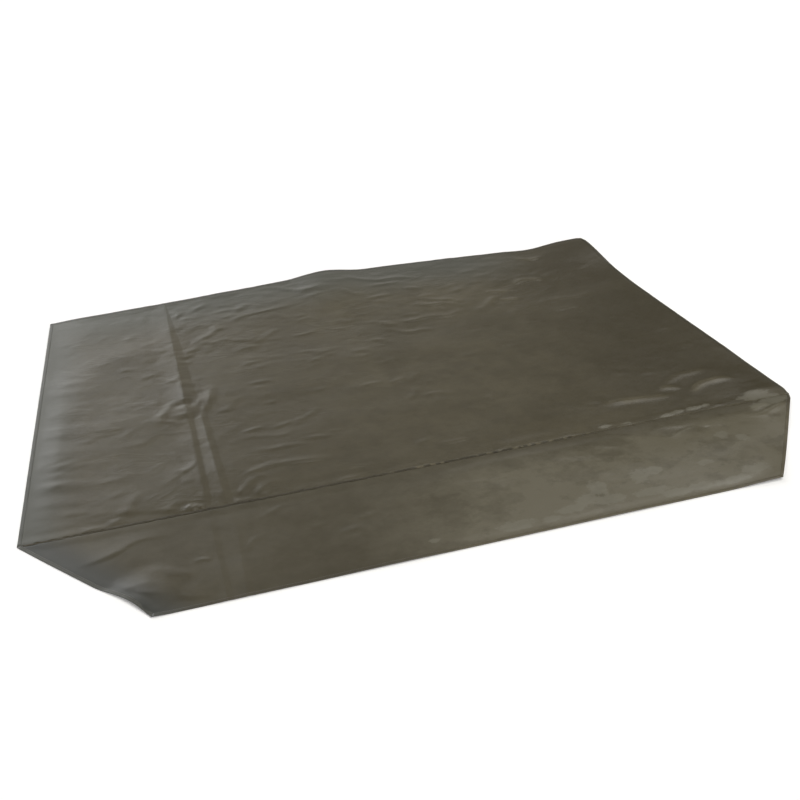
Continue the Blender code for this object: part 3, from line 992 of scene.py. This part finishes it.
def binding_section():
    """The folded tape's cross section: places out from the cloth's edge and up from its middle.

    The outer face comes first, from the upper leaf's raw edge to the lower leaf's, then
    the inner face back. The raw edges touch the cloth.
    """
    leaf, half = binding_width, drawn_tape / 2
    touch = cloth_thickness / 2
    over = [(-leaf, touch + half * 0.2), (-leaf + 0.0007, bend_radius + half * 0.7),
            (-leaf + 0.0020, tape_outside), (-leaf * 0.3, tape_outside)]
    under = [(-leaf, touch), (-leaf * 0.5, bend_radius - half)]
    outer = over + half_turn(tape_outside) + [(out, -up) for out, up in over[::-1]]
    inner = [(out, -up) for out, up in under] + half_turn(bend_radius - half)[::-1] + under[::-1]
    return outer + inner


def make_binding(name, first, last, material, node, body=None):
    """A tape folded round one run of the sheet's edge, mitred where it meets the next.

    It rides on a body where one is named. Its inner edges waver a little.
    """
    points, out, ahead, cuts = edge_line(first, last)
    middle = edge_height(points, out)
    section = np.array(binding_section())
    rings = np.empty((len(points), len(section), 3))
    wave = 1 + 0.05 * rumple(points[:, 0] / 0.04, points[:, 1] / 0.04, 51)
    cut = np.zeros(len(points))
    cut[0], cut[-1] = -cuts[0], cuts[1]
    for number, (reach, up) in enumerate(section):
        reach = reach * (wave if reach < -binding_width * 0.6 else np.ones(len(points)))
        place = points + out * reach[:, None] + ahead * (cut * reach)[:, None]
        rings[:, number] = settled(place[:, 0], place[:, 1], middle + up)
    count, around = rings.shape[:2]
    number = np.arange(count * around).reshape(count, around)
    following = np.roll(number, -1, axis=1)
    faces = np.stack([number[:-1], number[1:], following[1:], following[:-1]], -1).reshape(-1, 4)
    caps = [number[0].tolist(), number[-1, ::-1].tolist()]
    along = np.concatenate([[0], np.cumsum(np.hypot(*np.diff(points, axis=0).T))])
    girth = np.concatenate([[0], np.cumsum(np.hypot(*np.diff(section, axis=0).T))])
    place = np.stack(np.meshgrid(along, girth, indexing="ij"), -1).reshape(-1, 2)
    mesh = mesh_from(name, rings.reshape(-1, 3), faces.tolist() + caps, place)
    piece = add_object(name, mesh, material)
    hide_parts(node)
    if body:
        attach(piece, body)
    return piece


# One stitch's beads from end to end: place along it, girth and lift, and its facets round
stitch_beads = ((-0.5, 0.35, -0.6), (-0.32, 0.9, 0.25), (0.0, 1.0, 0.5), (0.32, 0.9, 0.25),
                (0.5, 0.35, -0.6))
stitch_facets = 6


def stitches(points, up, thread):
    """Corners of stitches laid end to end along a line, on top (up 1) or underneath (-1)."""
    lengths = np.linalg.norm(np.diff(points, axis=0), axis=1)
    reached = np.concatenate([[0], np.cumsum(lengths)])

    def along(reach):
        return np.stack([np.interp(reach, reached, points[:, axis]) for axis in range(3)], 1)

    centres = np.arange(stitch_length, reached[-1] - stitch_length, stitch_length + stitch_gap)
    place = along(centres)
    ahead = along(centres + 0.001) - place
    ahead /= np.linalg.norm(ahead, axis=1)[:, None]
    side = np.cross(ahead, (0.0, 0.0, 1.0))
    side /= np.linalg.norm(side, axis=1)[:, None]
    rise = np.array((0.0, 0.0, up))
    verts = np.empty((len(place), len(stitch_beads), stitch_facets, 3))
    for bead, (share, girth, lift) in enumerate(stitch_beads):
        centre = place + ahead * share * stitch_length + rise * lift * thread
        for facet in range(stitch_facets):
            angle = 2 * math.pi * facet / stitch_facets
            verts[:, bead, facet] = centre + side * math.cos(angle) * girth * thread \
                + rise * math.sin(angle) * girth * thread * 0.8
    return verts if up > 0 else verts[:, :, ::-1]


def sewn(name, rows, material):
    """One object of several rows of stitches."""
    verts = np.concatenate(rows)
    number = np.arange(verts[..., 0].size).reshape(verts.shape[:3])
    following = np.roll(number, -1, axis=2)
    quads = np.stack([number[:, :-1], following[:, :-1], following[:, 1:], number[:, 1:]], -1)
    faces = quads.reshape(-1, 4).tolist()
    faces += number[:, 0, ::-1].tolist() + number[:, -1].tolist()
    return add_object(name, mesh_from(name, verts.reshape(-1, 3), faces), material)


def binding_stitches(name, edges, material):
    """One row of stitches near the inner edge of each tape, above and below."""
    rows = []
    for first, last in edges:
        points, out, _, _ = edge_line(first, last)
        middle = edge_height(points, out)
        row = points - out * edge_stitch_inset
        for up in (1, -1):
            line = settled(row[:, 0], row[:, 1], middle + up * tape_outside)
            rows.append(stitches(line[1:-1], up, edge_thread))
    return sewn(name, rows, material)


# The hem's cross section: places rearward from the seam, and its lift off the cloth at each
hem_places = np.array((0.0052, 0.0044, 0.0026, 0.0008, -0.0006, -0.0022, -0.0032, -0.0036,
                       -0.0037))
hem_lifts = np.array((0.0, 0.0004, 0.0009, 0.0007, 0.0007, 0.0014, 0.0013, 0.0007, -0.0002))
hem_sunk = 0.0002


def make_seam_fell(material, thread):
    """The turned hem of the main panel, lapped over the front panel and sewn down."""
    half = seam_half - seat - hem_end_gap
    across = np.linspace(-half, half, round(2 * half / hem_step))
    x = np.repeat(across[None], len(hem_places), 0)
    waver = 0.0007 * ripple(across / 0.03, 1.5, 61)
    y = hem_places[:, None] + waver[None]
    fullness = 0.3 + 0.6 * np.abs(ripple(across / 0.035, 5.5, 62))
    fullness = fullness * (1 - 0.85 * smooth((across - 0.10) / 0.75))
    fullness = fullness * (1 - 0.5 * smooth((-across - 0.95) / 0.3))
    low = laid(x, y, 1) + cloth_thickness + hem_lifts[:, None] * fullness[None] - hem_sunk
    piece = add_object("seam_fell", sheet_solid("seam_fell", x, y, low, hem_thickness), material)
    line_y = waver + stitch_line_y
    height = laid(across, line_y, 1) + cloth_thickness + hem_sunk + hem_lifts[3] * fullness
    row = stitches(settled(across, line_y, height), 1, seam_thread)
    return piece, sewn("seam_stitches", [row], thread)


def make_seam_tape(material):
    """The sealing tape under the seam, pressed to the cloth."""
    x, y = np.meshgrid(np.linspace(tape_low.x, tape_high.x, sealing_columns),
                       np.linspace(tape_low.y, tape_high.y, sealing_rows) - seam_y)
    low = 0.00015 * np.clip(rumple(x / 0.05, y / 0.02, 71) + 0.4, 0, 1)
    piece = add_object("seam_sealing_tape",
                       sheet_solid("seam_sealing_tape", x, y, low, tape_thickness), material)
    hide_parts("seam_tape")
    return piece


def make_stage():
    """A pale floor that stays white to the camera away from the sheet's shadow."""
    mesh = bpy.data.meshes.new("floor")
    mesh.from_pydata([(x * floor_reach, y * floor_reach, 0)
                      for x, y in ((-1, -1), (1, -1), (1, 1), (-1, 1))], [], [(0, 1, 2, 3)])
    finish = Finish("white_floor")
    finish.give(Base_Color=(0.93, 0.93, 0.93, 1.0), Roughness=0.9, Specular_IOR_Level=0.1)
    seen = finish.node("ShaderNodeLightPath")
    finish.give(Emission_Color=seen, Emission_Strength=0.13)
    floor = add_object("floor", mesh, finish.material)
    floor.location.z = floor_level


# The studio's lamps, all far off: azimuth clockwise from straight behind the sheet,
# elevation, strength, how wide each glows, and colour. Angles are in degrees
studio_lamps = {
    "key": (60, 60, 1.5, 40, (1.0, 0.98, 0.94)),
    "rear_glow": (-17.5, 20, 1.06, 40, (0.97, 0.985, 1.0)),
    "rear_fill": (6, 17, 0.30, 40, (1.0, 0.97, 0.91)),
    "side_fill": (155, 40, 1.1, 60, (1.0, 0.98, 0.94)),
    "overhead": (200, 62, 0.48, 60, (1.0, 0.985, 0.96)),
}


def add_lamp(name, azimuth, elevation, energy, width, colour):
    """One far lamp, pointed at the middle of the sheet."""
    lamp = bpy.data.lights.new(name, 'SUN')
    lamp.energy = energy
    lamp.color = colour
    lamp.angle = math.radians(width)
    azimuth, elevation = math.radians(azimuth), math.radians(elevation)
    place = lamp_distance * Vector((math.sin(azimuth) * math.cos(elevation),
                                    math.cos(azimuth) * math.cos(elevation),
                                    math.sin(elevation)))
    holder = bpy.data.objects.new(name, lamp)
    bpy.context.scene.collection.objects.link(holder)
    holder.location = place
    holder.rotation_euler = (-place).to_track_quat('-Z', 'Y').to_euler()


def make_lights():
    """Soft studio light, and a faint even world that the camera sees as white.

    A high key stands to the rear right, two low glows behind graze the wrinkles, and two
    fills stand in front.
    """
    for name, settings in studio_lamps.items():
        add_lamp(name, *settings)
    world = bpy.data.worlds.new("studio")
    bpy.context.scene.world = world
    studio = Shading(world)
    background = studio.nodes["Background"]
    background.inputs["Color"].default_value = (1.0, 1.0, 1.0, 1.0)
    seen = studio.node("ShaderNodeLightPath")
    level = studio.node("ShaderNodeMapRange", {}, {"Value": seen, "To Min": 0.08})
    studio.set(background.inputs["Strength"], level)


def make_camera():
    """The photograph's viewpoint: from the left of the front edge, looking down 34 degrees."""
    camera = bpy.data.cameras.new("camera")
    camera.sensor_width = 36.0
    camera.lens = 55.23
    camera.clip_end = 60.0
    holder = bpy.data.objects.new("camera", camera)
    bpy.context.scene.collection.objects.link(holder)
    holder.location = (-1.1431, -3.5503, 2.4317)
    holder.rotation_euler = (math.radians(90 - 33.696), 0.0, math.radians(-18.314))
    bpy.context.scene.camera = holder


make_camera()
make_lights()
make_stage()
bpy.context.scene.view_settings.view_transform = 'Standard'

# Each cloth's own dark colour, its pale colour where painted light falls, and its painted grey
# sheen; on the front panel that sheen is a darker grey
main_finish = coated_cloth("main_coated_cloth", (0.0345, 0.0268, 0.0085), pale_lit_olive,
                           painted_sheen=(0.0540, 0.0550, 0.0420), shine=0.47)
front_finish = coated_cloth("front_coated_cloth", (0.0350, 0.0272, 0.0085),
                            (0.104, 0.0925, 0.059), painted_sheen=(0.028, 0.030, 0.026), shine=0.46)
tape_finish = coated_cloth("edge_tape_cloth", (0.0325, 0.0260, 0.0100), pale_lit_olive,
                           painted_sheen=(0.049, 0.0505, 0.0405))
# The hem's colours are darker than the cloth's: painted shade in the seam's groove, lightened to
# its pale colour where that shade fades
hem_shade_finish = coated_cloth("seam_hem_cloth", (0.026, 0.0205, 0.009), (0.104, 0.090, 0.052),
                          shine=0.25)
thread_finish = sewing_thread("sewing_thread", (0.038, 0.032, 0.019))
film_finish = sealing_film("sealing_film", (0.060, 0.058, 0.051))

main_cloth = make_cloth("main_cloth", 1, main_finish, "main_panel")
front_cloth = make_cloth("front_cloth", -1, front_finish, "front_panel")
seam_fell, seam_stitches = make_seam_fell(hem_shade_finish, thread_finish)
sealing = make_seam_tape(film_finish)

main_edges = [
    make_binding("left_side_edge_tape", 0, 1, tape_finish, "left_side_binding", "main_sheet"),
    make_binding("rear_edge_tape", 1, 3, tape_finish, "rear_binding", "main_sheet"),
    make_binding("right_side_edge_tape", 3, 4, tape_finish, "right_side_binding", "main_sheet")]
front_edges = [
    make_binding("front_right_edge_tape", 4, 5, tape_finish, "front_right_binding"),
    make_binding("front_edge_tape", 5, 6, tape_finish, "front_binding"),
    make_binding("front_left_edge_tape", 6, 7, tape_finish, "front_left_binding")]
main_stitches = binding_stitches("main_edge_stitches", ((0, 1), (1, 3), (3, 4)), thread_finish)
front_stitches = binding_stitches("front_edge_stitches", ((4, 5), (5, 6), (6, 7)), thread_finish)

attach(main_cloth, "main_sheet")
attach(main_stitches, "main_sheet")
for piece in (front_cloth, seam_fell, seam_stitches, sealing, front_stitches, *front_edges):
    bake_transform(piece)

main_area = (seam_half + rear_half) * rear_depth + rear_half * rear_peak
front_area = (seam_half + front_half) * front_depth
